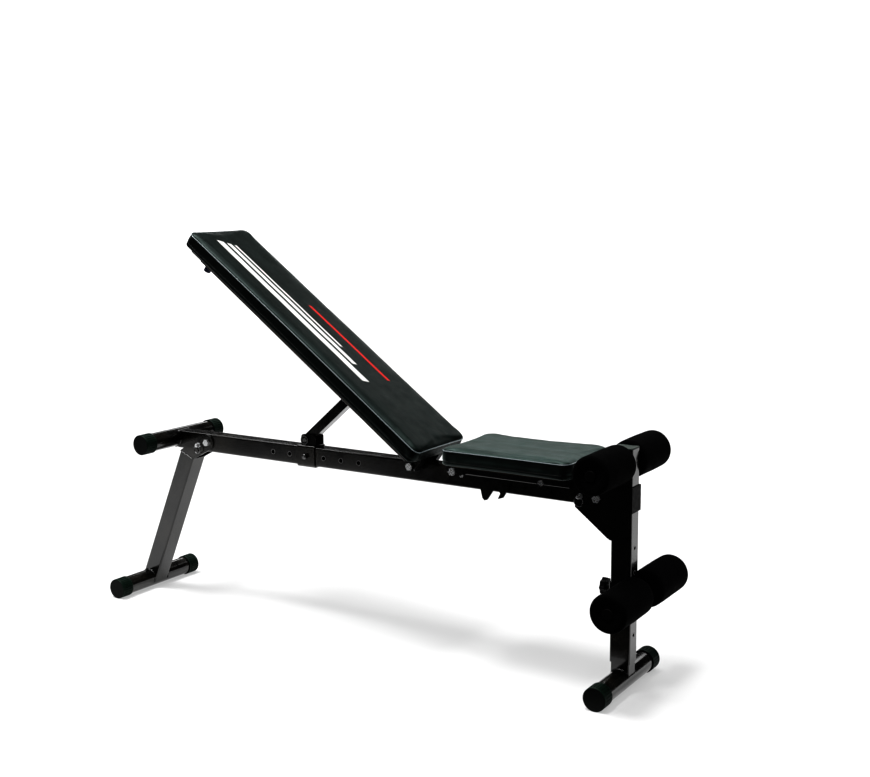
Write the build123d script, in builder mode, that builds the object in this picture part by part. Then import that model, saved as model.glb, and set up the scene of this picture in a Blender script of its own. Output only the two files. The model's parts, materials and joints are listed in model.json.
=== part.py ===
"""Folding decline sit-up bench: each piece is one labelled part, written as one STEP file.

Millimetres. X runs from the rear foot to the leg rollers, Y across the bench, Z up.
The origin is on the floor, under the middle of the bench.
"""

import math
import os

from build123d import *

os.makedirs("parts", exist_ok=True)

# ---------------------------------------------------------------- driving dimensions

running_gap = 0.05          # radial clearance of a pin or shaft in its hole
side_gap = 0.2              # clearance under bolt heads and nuts

# steel tubes
tube_wall = 2.0
tube_corner = 4.0
rail_width = 40.0
rail_height = 50.0
round_tube_r = 25.0
bracket_inner = 20.5        # half gap of the U brackets round the main rail
bracket_outer = 23.5

# main rail
rail_rear_x = -637.0
rail_front_x = 680.0
rail_top = 476.0
rail_mid_z = rail_top - rail_height / 2
rail_bottom = rail_top - rail_height

# rows of side holes for the sliding backrest prop
stop_hole_r = 5.5
stop_hole_pitch = 56.0
stop_hole_first_x = -290.0
stop_hole_count = 6
slider_x = stop_hole_first_x + 2 * stop_hole_pitch

rail_bolt_places = ((297.0, 455.5), (533.0, 444.0))
rail_bolt_r = 3.0
rail_bolt_head_r = 5.0
rail_bolt_head_height = 3.5

# feet and rear crossbar
cap_r = 27.75
cap_length = 37.0
cap_wall = 3.0
cap_flat = 0.3              # depth of the flat that each foot cap stands on
foot_half = 151.0
foot_z = cap_r - cap_flat
front_foot_x = 713.0
rear_foot_x = -770.3
crossbar_x = -649.0
crossbar_z = 454.0

# bolts and lock pins
bolt_r = 5.0
bolt_head_flats_r = 8.5
bolt_head_height = 6.4
nut_height = 8.0
pin_r = 4.0
pin_head_r = 4.8
ring_r = 11.0
ring_wire_r = 1.25
ring_hole_r = 2.7

# rear leg, which folds up under the rail
rear_pivot = (-524.0, 452.0)
rear_pin = (-555.0, 442.0)
leg_size = 50.0
leg_lean = 23.9             # degrees from upright
leg_length = 417.4
leg_eye_r = 22.0
leg_web = 4.0

# front post, which folds back under the rail
post_depth = 50.0
post_bottom = 68.0
post_top = 563.0
stub_depth = 45.4
stub_width = 35.4
stub_top = 190.0
front_pivot = (654.0, 444.0)
front_pin = (613.0, 445.0)
post_hole_r = 4.0
post_hole_heights = (133.0, 280.0, 337.0)

# foam leg rollers
bar_r = 12.7
bar_end_depth = 3.0         # how far the bar's ends sit inside the foam
roller_r = 43.7
roller_inner = 24.5
roller_edge = 8.0
upper_bar = (708.0, 531.0)
upper_roller_outer = 172.0
lower_bar = (754.4, 237.0)
lower_roller_outer = 178.0

# sliding carriage of the lower rollers
sleeve_gap = 0.4
sleeve_wall = 3.3
sleeve_half_height = 18.0
boss_length = 8.0
knob_r = 20.5
knob_near_x = 672.5
knob_far_x = 660.0

# backrest
back_incline = 36.0
back_low = (234.0, 518.0)   # low end of the backrest's upper face
back_length = 871.0
pad_width = 228.0
pad_corner = 24.0
seat_front_corner = 28.0
pad_edge = 9.0
back_pad_depth = 42.0
back_end_round = 18.0
back_frame_top = 43.0       # depth of the side rails' top below the pad's face
back_rail_depth = 40.0
back_rail_low = 9.0
back_rail_high = 846.0
back_hinge = (165.0, 467.5)

# seat
seat_rear_x = 296.0
seat_front_x = 627.0
seat_top = 537.0
seat_pad_bottom = 496.0
seat_frame_top = 495.0
seat_rail_depth = 30.0
seat_rail_rear_x = 271.0
seat_rail_front_x = 596.0
seat_hinge = (288.0, 468.5)
hinge_ear_r = 12.0
hinge_ear_thickness = 4.0
hinge_ear_reach = 40.0

# both frames have side rails that straddle the main rail
side_rail_inner = 26.0
side_rail_width = 20.0
side_rail_outer = side_rail_inner + side_rail_width
side_rail_mid = side_rail_inner + side_rail_width / 2
side_rail_corner = 2.5
side_rail_wall = 1.5
board_thickness = 12.0
board_inset = 8.0
board_end_inset = 22.0
crossbar_width = 25.0
crossbar_depth = 15.0
screw_r = 3.0
screw_head_r = 5.5
screw_head_height = 3.0

# strut between the slider and the backrest
strut_foot = (-183.0, 493.3)
strut_top_along = 272.9     # from the backrest's low end
strut_top_depth = 56.5
strut_size = 25.0

# sliding collar
collar_half = 28.0
collar_side_gap = 0.8
collar_top_gap = 1.5
collar_wall = 2.5
lug_inner = 13.2
lug_outer = 18.2

# notched seat ladder and its peg
ladder_bolt = (527.0, 470.5)
ladder_bolt_r = 4.0
ladder_notches = ((396.0, 430.5), (436.0, 445.5))
ladder_notch_r = 6.8
ladder_near = 21.5
ladder_thickness = 4.0
peg_r = 6.0


# ---------------------------------------------------------------- helpers

def save(builder, label):
    """Give a finished piece its name and write it."""
    builder.part.label = label
    export_step(builder.part, f"parts/{label}.step")


def tube_section(width, height, corner=tube_corner, wall=tube_wall):
    """Rounded rectangular tube section in the sketch that is open."""
    RectangleRounded(width, height, corner)
    RectangleRounded(width - 2 * wall, height - 2 * wall, corner - wall / 2, mode=Mode.SUBTRACT)


def cross_hole(place, radius, reach=60.0):
    """Drill along Y, through both sides of the part that is open."""
    with BuildSketch(Plane.XZ) as hole:
        with Locations(place):
            Circle(radius)
    extrude(hole.sketch, amount=reach, both=True, mode=Mode.SUBTRACT)


def round_tube(half_length, place, radius=round_tube_r, wall=tube_wall):
    """Round tube along Y, as a part builder."""
    with BuildPart() as tube:
        with BuildSketch(Plane.XZ):
            with Locations(place):
                Circle(radius)
                Circle(radius - wall, mode=Mode.SUBTRACT)
        extrude(amount=half_length, both=True)
    return tube


def end_caps(place, label):
    """Two ribbed caps over the ends of a round tube."""
    rib_count = 26
    rib_depth = 1.3
    rib_length = cap_length - 9.0
    open_y = foot_half - cap_length
    with BuildPart() as caps:
        with BuildSketch(Plane.XZ.offset(open_y)):
            with Locations(place):
                Circle(cap_r)
        extrude(amount=cap_length)
        fillet(caps.faces().sort_by(Axis.Y)[0].edges(), 2.0)
        with BuildSketch(Plane.XZ.offset(open_y)):
            with Locations(place):
                Circle(round_tube_r + running_gap)
        extrude(amount=cap_length - cap_wall, mode=Mode.SUBTRACT)
        with BuildSketch(Plane.XZ.offset(open_y + 4.0)):
            with Locations(place):
                with PolarLocations(cap_r, rib_count, start_angle=90 + 180 / rib_count):
                    Circle(rib_depth)
        extrude(amount=rib_length, mode=Mode.SUBTRACT)
        with BuildSketch(Plane.XY.offset(place[1] - cap_r)):
            with Locations((place[0], 0)):
                Rectangle(2 * cap_r, 2 * foot_half + 1.0)
        extrude(amount=cap_flat, mode=Mode.SUBTRACT)
        mirror(about=Plane.XZ)
    save(caps, label)


def hex_bolt(place, near_y, shank_end_y, radius=bolt_r, flats_r=bolt_head_flats_r):
    """Hex bolt along Y in the part that is open, with its head on the near side."""
    with BuildSketch(Plane.XZ.offset(near_y)) as head:
        with Locations(place):
            RegularPolygon(flats_r, 6, major_radius=False)
    extrude(head.sketch, amount=bolt_head_height)
    with BuildSketch(Plane.XZ.offset(near_y)) as shank:
        with Locations(place):
            Circle(radius)
    extrude(shank.sketch, amount=-(near_y + shank_end_y))


def hex_nut(place, start_y, radius=bolt_r, flats_r=bolt_head_flats_r, height=nut_height):
    """Hex nut on the far side, in the part that is open."""
    with BuildSketch(Plane.XZ.offset(-start_y)) as nut:
        with Locations(place):
            RegularPolygon(flats_r, 6, major_radius=False)
            Circle(radius + 0.02, mode=Mode.SUBTRACT)
    extrude(nut.sketch, amount=-height)


def ring_pin(place, label, tip_y, seat_y, radius=pin_r):
    """Lock pin along Y: shank, collar and a drilled head that carries a ring."""
    collar_height = 2.0
    head_height = 10.0
    with BuildPart() as pin:
        with BuildSketch(Plane.XZ.offset(tip_y)):
            with Locations(place):
                Circle(radius)
        extrude(amount=seat_y - tip_y)
        with BuildSketch(Plane.XZ.offset(seat_y)):
            with Locations(place):
                Circle(radius + 3.0)
        extrude(amount=collar_height)
        with BuildSketch(Plane.XZ.offset(seat_y + collar_height)):
            with Locations(place):
                Circle(pin_head_r)
        extrude(amount=head_height)
        fillet(pin.faces().sort_by(Axis.Y)[0].edges(), 1.5)
        with BuildSketch(Plane.YZ.offset(place[0])):
            with Locations((-(seat_y + collar_height + head_height / 2), place[1])):
                Circle(ring_hole_r)
        extrude(amount=pin_head_r + 1.0, both=True, mode=Mode.SUBTRACT)
    save(pin, label)
    return -(seat_y + collar_height + head_height / 2)


def pull_ring(place, y, label):
    """Wire ring that hangs through the head of a lock pin."""
    with BuildPart() as ring:
        with BuildSketch(Plane.XY.offset(place[1] - ring_r)):
            with Locations((place[0] + ring_r, y)):
                Circle(ring_wire_r)
        ring_axis = Axis((place[0], y, place[1] - ring_r), (0, 1, 0))
        revolve(axis=ring_axis, revolution_arc=360)
    save(ring, label)


def foam_roller(place, side, outer, label):
    """Foam sleeve with rounded ends that turns on its bar."""
    length = outer - roller_inner
    start = roller_inner if side < 0 else -outer
    with BuildPart() as roller:
        with BuildSketch(Plane.XZ.offset(start)):
            with Locations(place):
                Circle(roller_r)
        extrude(amount=length)
        fillet(roller.edges().filter_by(GeomType.CIRCLE), roller_edge)
        with BuildSketch(Plane.XZ.offset(start)):
            with Locations(place):
                Circle(bar_r + running_gap)
        extrude(amount=length, mode=Mode.SUBTRACT)
    save(roller, label)


def bar_plugs(place, bar_half, label):
    """Plastic plugs in both ends of a roller bar."""
    head = 2.0
    depth = 14.0
    with BuildPart() as plugs:
        with BuildSketch(Plane.XZ.offset(bar_half)):
            with Locations(place):
                Circle(bar_r - 0.3)
        extrude(amount=head)
        fillet(plugs.faces().sort_by(Axis.Y)[0].edges(), 1.2)
        with BuildSketch(Plane.XZ.offset(bar_half - depth)):
            with Locations(place):
                Circle(bar_r - tube_wall - 0.1)
        extrude(amount=depth)
        mirror(about=Plane.XZ)
    save(plugs, label)


def hinge_ears(side, hinge, inboard):
    """Two plates on a side rail, with round eyes for its hinge, in the part that is open."""
    start = side_rail_inner if side < 0 else -side_rail_inner - hinge_ear_thickness
    step = side_rail_width - hinge_ear_thickness
    for offset in (start, start - side * step):
        with BuildSketch(Plane.XZ.offset(offset)) as ear:
            with Locations(hinge):
                Circle(hinge_ear_r)
            with Locations(inboard):
                Circle(hinge_ear_r)
            make_hull()
        extrude(ear.sketch, amount=hinge_ear_thickness)


def rail_plugs(planes, depth, label):
    """Push-in plugs for the ends of the side rails, one for each plane given."""
    plug_length = 5.0
    lip = 2.0
    with BuildPart() as plugs:
        for plane in planes:
            with BuildSketch(plane):
                RectangleRounded(side_rail_width, depth, side_rail_corner)
            extrude(amount=lip)
            with BuildSketch(plane):
                inner = 2 * side_rail_wall + 0.2
                RectangleRounded(side_rail_width - inner, depth - inner, 1.9)
            extrude(amount=-plug_length)
    save(plugs, label)


# ---------------------------------------------------------------- main rail

with BuildPart() as main_rail:
    with BuildSketch(Plane.YZ.offset(rail_rear_x)):
        with Locations((0, rail_mid_z)):
            tube_section(rail_width, rail_height)
    extrude(amount=rail_front_x - rail_rear_x)
    with BuildSketch(Plane.XZ):
        with Locations((crossbar_x, crossbar_z)):
            Circle(round_tube_r + running_gap)
    extrude(amount=rail_width, both=True, mode=Mode.SUBTRACT)
    for index in range(stop_hole_count):
        cross_hole((stop_hole_first_x + index * stop_hole_pitch, rail_mid_z), stop_hole_r)
    for pivot in (rear_pivot, front_pivot, back_hinge, seat_hinge):
        cross_hole(pivot, bolt_r + running_gap)
    for lock in (rear_pin, front_pin):
        cross_hole(lock, pin_r + 0.3)
    cross_hole(ladder_notches[1], peg_r + 0.02)
    with BuildSketch(Plane.XZ):
        with Locations(*rail_bolt_places):
            Circle(rail_bolt_r + 0.02)
    extrude(amount=rail_width, mode=Mode.SUBTRACT)
save(main_rail, "main_rail")

rear_crossbar = round_tube(foot_half - cap_wall, (crossbar_x, crossbar_z))
save(rear_crossbar, "rear_crossbar")
end_caps((crossbar_x, crossbar_z), "crossbar_caps")

gusset_front_x = 268.0
gusset_rear_x = 216.0
gusset_tip = (262.0, 443.0)
gusset_thickness = 3.0
with BuildPart() as rail_gussets:
    with BuildSketch(Plane.XZ.offset(rail_width / 2)):
        with BuildLine():
            Polyline(
                (gusset_rear_x, rail_top - 4.0),
                (gusset_front_x, rail_top - 4.0),
                (gusset_front_x, gusset_tip[1] + 16.0),
                gusset_tip,
                close=True,
            )
        make_face()
    extrude(amount=gusset_thickness)
    mirror(about=Plane.XZ)
save(rail_gussets, "rail_gussets")

with BuildPart() as rail_side_bolts:
    with BuildSketch(Plane.XZ.offset(rail_width / 2)):
        with Locations(*rail_bolt_places):
            RegularPolygon(rail_bolt_head_r, 6, major_radius=False)
    extrude(amount=rail_bolt_head_height)
    with BuildSketch(Plane.XZ.offset(rail_width / 2)):
        with Locations(*rail_bolt_places):
            Circle(rail_bolt_r)
    extrude(amount=-10.0)
save(rail_side_bolts, "rail_side_bolts")

with BuildPart() as ladder_peg:
    with BuildSketch(Plane.XZ.offset(-rail_width / 2)):
        with Locations(ladder_notches[1]):
            Circle(peg_r)
    extrude(amount=rail_width + 1.0)
save(ladder_peg, "ladder_peg")

# ---------------------------------------------------------------- pivot bolts on the rail

leg_bolt_seat = bracket_outer + side_gap
frame_bolt_seat = side_rail_outer + side_gap
with BuildPart() as leg_pivot_bolts:
    for pivot in (rear_pivot, front_pivot):
        hex_bolt(pivot, leg_bolt_seat, leg_bolt_seat + nut_height + 2.0)
save(leg_pivot_bolts, "leg_pivot_bolts")

with BuildPart() as frame_hinge_bolts:
    for pivot in (back_hinge, seat_hinge):
        hex_bolt(pivot, frame_bolt_seat, frame_bolt_seat + nut_height + 2.0)
save(frame_hinge_bolts, "frame_hinge_bolts")

with BuildPart() as pivot_nuts:
    for pivot in (rear_pivot, front_pivot):
        hex_nut(pivot, leg_bolt_seat)
    for pivot in (back_hinge, seat_hinge):
        hex_nut(pivot, frame_bolt_seat)
save(pivot_nuts, "pivot_nuts")

with BuildPart() as hinge_spacers:
    with BuildSketch(Plane.XZ.offset(rail_width / 2)):
        with Locations(back_hinge, seat_hinge):
            Circle(8.5)
            Circle(bolt_r + 0.02, mode=Mode.SUBTRACT)
    extrude(amount=side_rail_inner - rail_width / 2 - side_gap)
    mirror(about=Plane.XZ)
save(hinge_spacers, "hinge_spacers")

# ---------------------------------------------------------------- rear leg

lean = math.radians(leg_lean)
leg_dir = (math.sin(lean), 0, math.cos(lean))
leg_across = (math.cos(lean), 0, -math.sin(lean))
leg_plane = Plane(origin=(rear_foot_x, 0, foot_z), x_dir=leg_across, z_dir=leg_dir)
leg_end_plane = leg_plane.offset(leg_length)

with BuildPart() as rear_leg_tube:
    with BuildSketch(leg_plane):
        tube_section(leg_size, leg_size)
    extrude(amount=leg_length)
    with BuildSketch(Plane.XZ):
        with Locations((rear_foot_x, foot_z)):
            Circle(round_tube_r + running_gap)
    extrude(amount=leg_size, both=True, mode=Mode.SUBTRACT)
save(rear_leg_tube, "rear_leg_tube")

leg_end = leg_end_plane.origin
web_corners = []
for across, along in ((-1, 0), (1, 0), (1, 1), (-1, 1)):
    x = leg_end.X + across * leg_size / 2 * leg_across[0] + along * leg_web * leg_dir[0]
    z = leg_end.Z + across * leg_size / 2 * leg_across[2] + along * leg_web * leg_dir[2]
    web_corners.append((x, z))
with BuildPart() as rear_leg_bracket:
    with BuildSketch(Plane.XZ):
        with Locations(rear_pivot):
            Circle(leg_eye_r)
        with BuildLine():
            Polyline(*web_corners, close=True)
        make_face()
        make_hull()
    extrude(amount=bracket_outer, both=True)
    with BuildSketch(leg_end_plane.offset(leg_web)):
        Rectangle(400, 2 * bracket_inner)
    extrude(amount=200, mode=Mode.SUBTRACT)
    cross_hole(rear_pivot, bolt_r + running_gap)
    cross_hole(rear_pin, pin_r + running_gap)
save(rear_leg_bracket, "rear_leg_bracket")

rear_foot_tube = round_tube(foot_half - cap_wall, (rear_foot_x, foot_z))
save(rear_foot_tube, "rear_foot_tube")
end_caps((rear_foot_x, foot_z), "rear_foot_caps")

pin_tip = rail_width / 2 + 0.3
pin_seat = bracket_outer + side_gap
head_y = ring_pin(rear_pin, "rear_lock_pin", pin_tip, pin_seat)
pull_ring(rear_pin, head_y, "rear_pin_ring")

# ---------------------------------------------------------------- front post

with BuildPart() as front_post_tube:
    with BuildSketch(Plane.XY.offset(post_bottom)):
        with Locations((front_foot_x, 0)):
            tube_section(post_depth, rail_width)
    extrude(amount=post_top - post_bottom)
    cross_hole(upper_bar, bar_r + running_gap)
    with BuildSketch(Plane.YZ.offset(front_foot_x)):
        with Locations(*((0, height) for height in post_hole_heights)):
            Circle(post_hole_r)
    extrude(amount=post_depth, both=True, mode=Mode.SUBTRACT)
save(front_post_tube, "front_post_tube")

with BuildPart() as front_foot_stub:
    with BuildSketch(Plane.XY.offset(foot_z)):
        with Locations((front_foot_x, 0)):
            tube_section(stub_depth, stub_width, corner=3.0)
    extrude(amount=stub_top - foot_z)
    with BuildSketch(Plane.XZ):
        with Locations((front_foot_x, foot_z)):
            Circle(round_tube_r + running_gap)
    extrude(amount=rail_width, both=True, mode=Mode.SUBTRACT)
    with BuildSketch(Plane.YZ.offset(front_foot_x)):
        with Locations((0, post_hole_heights[0])):
            Circle(post_hole_r)
    extrude(amount=post_depth, both=True, mode=Mode.SUBTRACT)
save(front_foot_stub, "front_foot_stub")

front_foot_tube = round_tube(foot_half - cap_wall, (front_foot_x, foot_z))
save(front_foot_tube, "front_foot_tube")
end_caps((front_foot_x, foot_z), "front_foot_caps")

top_cap_lip = 3.0
with BuildPart() as post_top_cap:
    with BuildSketch(Plane.XY.offset(post_top)):
        with Locations((front_foot_x, 0)):
            RectangleRounded(post_depth, rail_width, tube_corner)
    extrude(amount=top_cap_lip)
    fillet(post_top_cap.faces().sort_by(Axis.Z)[-1].edges(), 1.2)
    with BuildSketch(Plane.XY.offset(post_top - 12.0)):
        with Locations((front_foot_x, 0)):
            plug = 2 * tube_wall + 0.4
            RectangleRounded(post_depth - plug, rail_width - plug, 3.2)
    extrude(amount=12.0)
    cross_hole(upper_bar, bar_r + 1.0)
save(post_top_cap, "post_top_cap")

bracket_outline = (
    (600.0, 419.0),
    (680.0, 357.0),
    (687.0, 353.0),
    (733.0, 350.0),
    (733.0, 420.0),
    (740.4, 420.0),
    (740.4, 479.0),
    (655.0, 479.0),
    (607.0, 468.0),
    (600.0, 461.0),
)
strap_inner_x = front_foot_x + post_depth / 2 + 0.4
with BuildPart() as front_bracket:
    with BuildSketch(Plane.XZ):
        with BuildLine():
            Polyline(*bracket_outline, close=True)
        make_face()
    extrude(amount=bracket_outer, both=True)
    with BuildSketch(Plane.XY.offset(bracket_outline[3][1] - 10.0)):
        with Locations((strap_inner_x - 100.0, 0)):
            Rectangle(200, 2 * bracket_inner)
    extrude(amount=200, mode=Mode.SUBTRACT)
    cross_hole(front_pivot, bolt_r + running_gap)
    cross_hole(front_pin, pin_r + running_gap)
save(front_bracket, "front_bracket")

head_y = ring_pin(front_pin, "front_lock_pin", pin_tip, pin_seat)
pull_ring(front_pin, head_y, "front_pin_ring")

# ---------------------------------------------------------------- rollers and their bars

upper_bar_half = upper_roller_outer - bar_end_depth
upper_roller_bar = round_tube(upper_bar_half, upper_bar, radius=bar_r)
save(upper_roller_bar, "upper_roller_bar")
bar_plugs(upper_bar, upper_bar_half, "upper_bar_plugs")
foam_roller(upper_bar, -1, upper_roller_outer, "upper_roller_near")
foam_roller(upper_bar, 1, upper_roller_outer, "upper_roller_far")

lower_bar_half = lower_roller_outer - bar_end_depth
lower_roller_bar = round_tube(lower_bar_half, lower_bar, radius=bar_r)
save(lower_roller_bar, "lower_roller_bar")
bar_plugs(lower_bar, lower_bar_half, "lower_bar_plugs")
foam_roller(lower_bar, -1, lower_roller_outer, "lower_roller_near")
foam_roller(lower_bar, 1, lower_roller_outer, "lower_roller_far")

# ---------------------------------------------------------------- lower roller carriage

sleeve_depth = post_depth + 2 * (sleeve_gap + sleeve_wall)
sleeve_width = rail_width + 2 * (sleeve_gap + sleeve_wall)
sleeve_rear_x = front_foot_x - sleeve_depth / 2
knob_screw_tip = front_foot_x - post_depth / 2 - 0.3
with BuildPart() as carriage_sleeve:
    with BuildSketch(Plane.XY.offset(lower_bar[1] - sleeve_half_height)):
        with Locations((front_foot_x, 0)):
            RectangleRounded(sleeve_depth, sleeve_width, 6.0)
            RectangleRounded(
                post_depth + 2 * sleeve_gap,
                rail_width + 2 * sleeve_gap,
                tube_corner,
                mode=Mode.SUBTRACT,
            )
    extrude(amount=2 * sleeve_half_height)
    with BuildSketch(Plane.YZ.offset(sleeve_rear_x)):
        with Locations((0, lower_bar[1])):
            Circle(9.5)
    extrude(amount=-boss_length)
    with BuildSketch(Plane.YZ.offset(sleeve_rear_x - boss_length)):
        with Locations((0, lower_bar[1])):
            Circle(bolt_r + running_gap)
    extrude(amount=boss_length + sleeve_wall + 0.1, mode=Mode.SUBTRACT)
save(carriage_sleeve, "carriage_sleeve")

with BuildPart() as carriage_knob:
    with BuildSketch(Plane.YZ.offset(knob_far_x)):
        with Locations((0, lower_bar[1])):
            Circle(knob_r - 2.5)
            with PolarLocations(knob_r - 4.5, 8):
                Circle(4.5)
    extrude(amount=knob_near_x - knob_far_x)
    fillet(carriage_knob.faces().sort_by(Axis.X)[0].edges(), 1.5)
    with BuildSketch(Plane.YZ.offset(knob_near_x)):
        with Locations((0, lower_bar[1])):
            Circle(9.0)
    extrude(amount=sleeve_rear_x - boss_length - 0.5 - knob_near_x)
    with BuildSketch(Plane.YZ.offset(knob_far_x + 5.0)):
        with Locations((0, lower_bar[1])):
            Circle(bolt_r + 0.02)
    extrude(amount=40.0, mode=Mode.SUBTRACT)
save(carriage_knob, "carriage_knob")

with BuildPart() as carriage_knob_screw:
    with BuildSketch(Plane.YZ.offset(knob_far_x + 5.2)):
        with Locations((0, lower_bar[1])):
            Circle(bolt_r)
    extrude(amount=knob_screw_tip - knob_far_x - 5.2)
save(carriage_knob_screw, "carriage_knob_screw")

# ---------------------------------------------------------------- backrest

incline = math.radians(back_incline)
back_down = (math.cos(incline), 0, -math.sin(incline))
back_normal = (math.sin(incline), 0, math.cos(incline))
back_face = Plane(origin=(back_low[0], 0, back_low[1]), x_dir=back_down, z_dir=back_normal)


def back_point(along, depth):
    """Side-view point of the backrest: along it from the low end, and below its upper face."""
    x = back_low[0] - along * back_down[0] - depth * back_normal[0]
    z = back_low[1] - along * back_down[2] - depth * back_normal[2]
    return (x, z)


back_side = Plane(origin=back_face.origin, x_dir=back_down, z_dir=(0, -1, 0))
board_half = pad_width / 2 - board_inset
board_length = back_length - 2 * board_end_inset
with BuildPart() as backrest_pad:
    with BuildSketch(back_side):
        with BuildLine():
            FilletPolyline(
                (-back_length / 2, 0),
                (0, 0),
                (0, -back_pad_depth),
                (-back_length / 2, -back_pad_depth),
                radius=(pad_edge, back_end_round),
            )
            Polyline(
                (-back_length / 2, -back_pad_depth),
                (-back_length, -back_pad_depth),
                (-back_length, 0),
                (-back_length / 2, 0),
            )
        make_face()
    extrude(amount=pad_width / 2, both=True)
    with BuildSketch(back_face.offset(5.0)):
        with Locations((-back_length / 2, 0)):
            RectangleRounded(back_length, pad_width, pad_corner)
    extrude(amount=-back_pad_depth - 10.0, mode=Mode.INTERSECT)
    with BuildSketch(back_face.offset(-back_frame_top)):
        with Locations((-back_length / 2, 0)):
            Rectangle(board_length, 2 * board_half)
    extrude(amount=board_thickness + 0.3, mode=Mode.SUBTRACT)
save(backrest_pad, "backrest_pad")

back_crossbar_places = (82.0, 545.0, 800.0)
back_screw_places = [(-along, side * 16.0) for along in back_crossbar_places for side in (-1, 1)]
with BuildPart() as backrest_board:
    with BuildSketch(back_face.offset(-back_frame_top)):
        with Locations((-back_length / 2, 0)):
            RectangleRounded(board_length - 0.6, 2 * board_half - 0.6, 8.0)
    extrude(amount=board_thickness)
    with BuildSketch(back_face.offset(-back_frame_top)):
        with Locations(*back_screw_places):
            Circle(screw_r + 0.02)
    extrude(amount=board_thickness - 2.0, mode=Mode.SUBTRACT)
save(backrest_board, "backrest_board")

back_rail_center = back_frame_top + back_rail_depth / 2
strut_top = back_point(strut_top_along, strut_top_depth)
back_up = (-back_down[0], 0, -back_down[2])
low_x, low_z = back_point(back_rail_low, back_rail_center)
high_x, high_z = back_point(back_rail_high, back_rail_center)
back_rail_section = Plane(origin=(low_x, 0, low_z), x_dir=(0, 1, 0), z_dir=back_up)
for side, name in ((-1, "near"), (1, "far")):
    with BuildPart() as side_rail:
        with BuildSketch(back_rail_section):
            with Locations((side * side_rail_mid, 0)):
                tube_section(side_rail_width, back_rail_depth, side_rail_corner, side_rail_wall)
        extrude(amount=back_rail_high - back_rail_low)
        hinge_ears(side, back_hinge, back_point(back_rail_low + hinge_ear_reach, back_rail_center))
        cross_hole(back_hinge, bolt_r + running_gap)
        cross_hole(strut_top, bolt_r + running_gap)
    save(side_rail, f"backrest_rail_{name}")

back_end_planes = []
for side in (-1, 1):
    y = side * side_rail_mid
    back_end_planes.append(Plane(origin=(low_x, y, low_z), x_dir=(0, 1, 0), z_dir=back_down))
    back_end_planes.append(Plane(origin=(high_x, y, high_z), x_dir=(0, 1, 0), z_dir=back_up))
rail_plugs(back_end_planes, back_rail_depth, "backrest_rail_plugs")


with BuildPart() as backrest_crossbars:
    with BuildSketch(back_face.offset(-back_frame_top)):
        with Locations(*((-along, 0) for along in back_crossbar_places)):
            Rectangle(crossbar_width, 2 * side_rail_inner)
    extrude(amount=-crossbar_depth)
    for along in back_crossbar_places:
        mid_x, mid_z = back_point(along, back_frame_top + crossbar_depth / 2)
        hollow = Plane(origin=(mid_x, 0, mid_z), x_dir=back_down, z_dir=(0, -1, 0))
        with BuildSketch(hollow):
            Rectangle(crossbar_width - 4.0, crossbar_depth - 4.0)
        extrude(amount=side_rail_inner, both=True, mode=Mode.SUBTRACT)
    with BuildSketch(back_face.offset(-back_frame_top)):
        with Locations(*back_screw_places):
            Circle(screw_r + 0.02)
    extrude(amount=-crossbar_depth, mode=Mode.SUBTRACT)
save(backrest_crossbars, "backrest_crossbars")

with BuildPart() as backrest_screws:
    with BuildSketch(back_face.offset(-back_frame_top - crossbar_depth)):
        with Locations(*back_screw_places):
            Circle(screw_r)
    extrude(amount=crossbar_depth + board_thickness - 3.0)
    with BuildSketch(back_face.offset(-back_frame_top - crossbar_depth)):
        with Locations(*back_screw_places):
            Circle(screw_head_r)
    extrude(amount=-screw_head_height)
save(backrest_screws, "backrest_screws")

bumper_along = 822.0
bumper_r = 11.0
bumper_height = 12.0
with BuildPart() as backrest_bumpers:
    with BuildSketch(back_face.offset(-back_frame_top - back_rail_depth)):
        with Locations((-bumper_along, side_rail_mid), (-bumper_along, -side_rail_mid)):
            Circle(bumper_r - 1.5)
    extrude(amount=-bumper_height)
save(backrest_bumpers, "backrest_bumpers")

# ---------------------------------------------------------------- strut

with BuildPart() as strut_top_bolt:
    hex_bolt(strut_top, frame_bolt_seat, frame_bolt_seat + nut_height + 2.0)
    hex_nut(strut_top, frame_bolt_seat)
save(strut_top_bolt, "strut_top_bolt")

with BuildPart() as strut_spacers:
    with BuildSketch(Plane.XZ.offset(strut_size / 2 + 0.4)):
        with Locations(strut_top):
            Circle(8.0)
            Circle(bolt_r + 0.02, mode=Mode.SUBTRACT)
    extrude(amount=side_rail_inner - strut_size / 2 - 0.8)
    mirror(about=Plane.XZ)
save(strut_spacers, "strut_spacers")

strut_dx = strut_top[0] - strut_foot[0]
strut_dz = strut_top[1] - strut_foot[1]
strut_length = math.hypot(strut_dx, strut_dz)
strut_plane = Plane(
    origin=(strut_foot[0], 0, strut_foot[1]),
    x_dir=(strut_dx / strut_length, 0, strut_dz / strut_length),
    z_dir=(0, -1, 0),
)
with BuildPart() as strut_tube:
    with BuildSketch(strut_plane):
        with Locations((strut_length / 2, 0)):
            SlotCenterToCenter(strut_length, strut_size)
    extrude(amount=strut_size / 2, both=True)
    with BuildSketch(strut_plane):
        with Locations((strut_length / 2 + 12.0, 0)):
            Rectangle(strut_length, strut_size - 4.0)
    extrude(amount=strut_size / 2 - 2.0, both=True, mode=Mode.SUBTRACT)
    cross_hole(strut_foot, bolt_r + running_gap)
    cross_hole(strut_top, bolt_r + running_gap)
save(strut_tube, "strut_tube")

# ---------------------------------------------------------------- slider

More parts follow.
